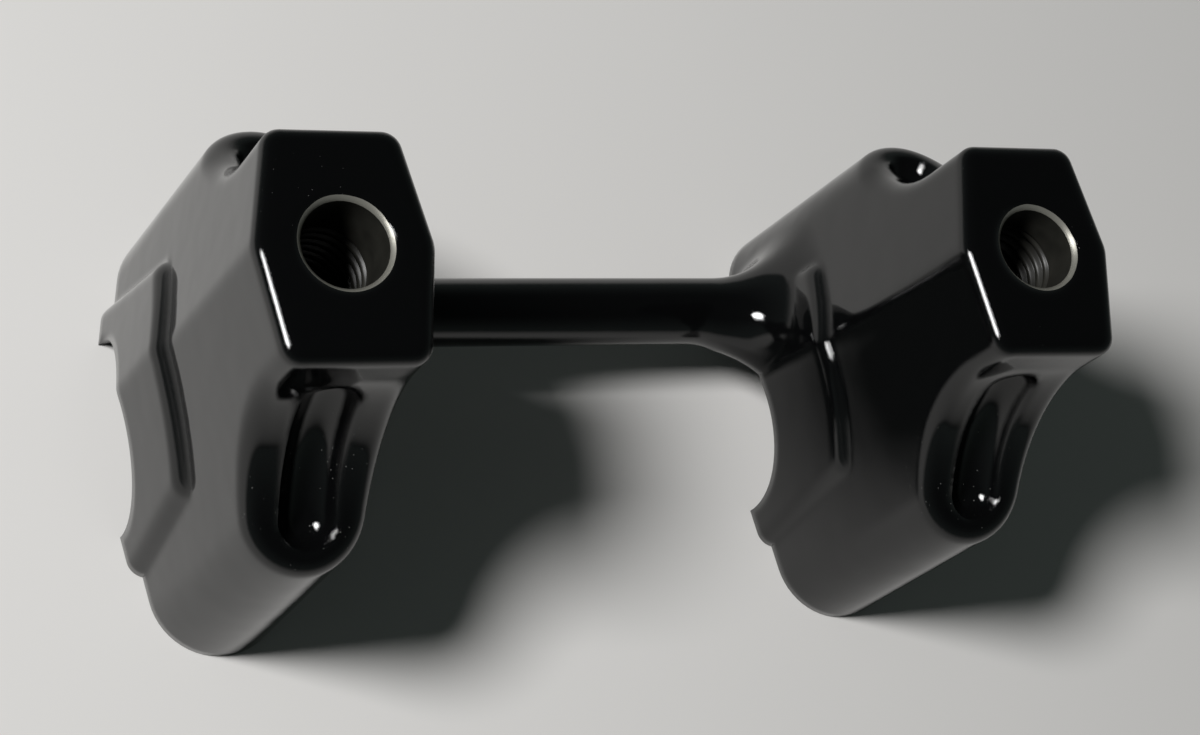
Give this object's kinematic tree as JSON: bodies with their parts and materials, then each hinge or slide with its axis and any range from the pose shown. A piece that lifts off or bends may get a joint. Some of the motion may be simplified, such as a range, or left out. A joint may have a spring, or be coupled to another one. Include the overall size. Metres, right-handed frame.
{
  "type": "handlebar clamp",
  "caption": "Cast lower half of a motorcycle handlebar clamp: hollow-sided risers with tapped feet, joined by a round tie bar, seating a one inch handlebar.",
  "frame": {"origin": "on the handlebar's axis, in the parting plane, midway between the risers", "axes": "+X along the tie bar and the handlebar, +Z from the parting plane up to the foot faces, +Y from ear to ear, towards the side that the feet are set over to"},
  "size_m": [0.1156, 0.057, 0.062],
  "materials": {
    "gloss_black_coat": "gloss"
  },
  "bodies": {
    "root": {"clamp_body": "gloss_black_coat"}
  },
  "joints": []
}
